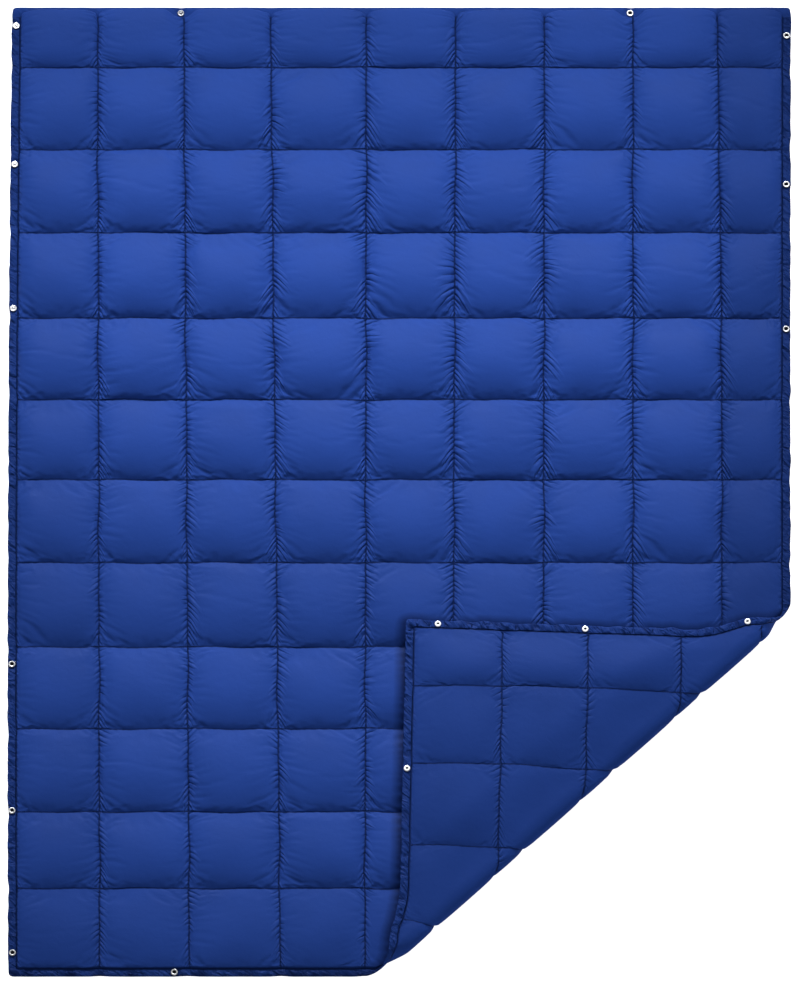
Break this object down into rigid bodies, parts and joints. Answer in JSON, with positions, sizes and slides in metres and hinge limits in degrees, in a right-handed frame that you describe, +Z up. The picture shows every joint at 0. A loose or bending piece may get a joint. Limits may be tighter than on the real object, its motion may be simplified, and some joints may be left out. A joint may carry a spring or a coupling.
{
  "type": "lightweight blanket",
  "caption": "Lightweight box-quilted filled blanket lying flat, one lower corner folded up and over on itself, with press fasteners set in its hem.",
  "frame": {"origin": "centre of the blanket's box in plan, on the surface that it rests on", "axes": "+X across to the right, +Y along the blanket to its head, +Z up"},
  "size_m": [1.2854, 1.76, 0.05],
  "materials": {
    "cover": "tight plain-weave taffeta in cobalt blue with a soft satin sheen",
    "snap_metal": "bright nickel plate"
  },
  "bodies": {
    "root": {"blanket_quilt": "cover", "snap_left_1": "snap_metal", "snap_left_2": "snap_metal", "snap_left_3": "snap_metal", "snap_left_4": "snap_metal", "snap_left_5": "snap_metal", "snap_left_6": "snap_metal", "snap_right_1": "snap_metal", "snap_right_2": "snap_metal", "snap_right_3": "snap_metal", "snap_right_4": "snap_metal", "snap_right_5": "snap_metal", "snap_right_6": "snap_metal", "snap_head_1": "snap_metal", "snap_head_2": "snap_metal", "snap_foot_1": "snap_metal", "snap_foot_2": "snap_metal"}
  },
  "joints": []
}
